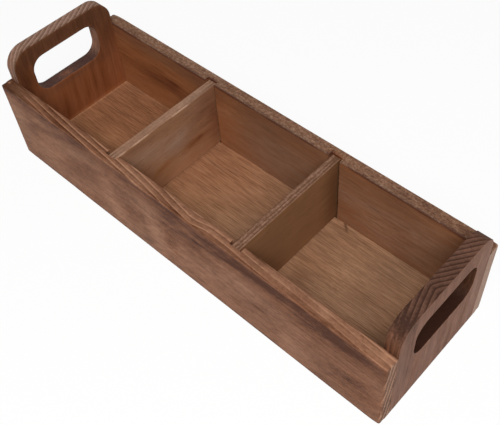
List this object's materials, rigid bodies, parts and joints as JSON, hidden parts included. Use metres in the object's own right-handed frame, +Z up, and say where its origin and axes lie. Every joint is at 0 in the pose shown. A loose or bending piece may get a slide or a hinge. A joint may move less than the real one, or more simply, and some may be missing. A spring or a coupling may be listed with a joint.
{
  "type": "tea bag organizer",
  "caption": "Open wooden tray for tea bags: compartments in a row between two side boards, lift-out dividers in grooves, and tall rounded end panels with grip holes.",
  "frame": {"origin": "middle of the underside, on the surface that the tray stands on", "axes": "+X along the tray towards the right end panel, +Y from the front board to the back board, +Z up"},
  "size_m": [0.33, 0.1026, 0.0884],
  "materials": {
    "stained_side_board": "walnut stain on solid softwood, satin, curved growth lines on the edges, cloudy flat-sawn faces",
    "stained_end_panel": "walnut stain on solid softwood, satin, upright grain, ringed end grain on the top",
    "stained_floor_board": "lighter walnut stain, matt, fine lengthwise grain",
    "stained_thin_plywood": "walnut stain on thin plywood, matt, striped edges"
  },
  "bodies": {
    "tray": {"front_board": "stained_side_board", "back_board": "stained_side_board", "left_end_panel": "stained_end_panel", "right_end_panel": "stained_end_panel", "floor_board": "stained_floor_board"},
    "left_divider": {"left_divider": "stained_thin_plywood"},
    "right_divider": {"right_divider": "stained_thin_plywood"}
  },
  "joints": [
    {"name": "left_divider_lift", "type": "slide", "parent": "tray", "child": "left_divider", "axis": [0, 0, 1], "range_m": [0, 0.08]},
    {"name": "right_divider_lift", "type": "slide", "parent": "tray", "child": "right_divider", "axis": [0, 0, 1], "range_m": [0, 0.08]}
  ]
}
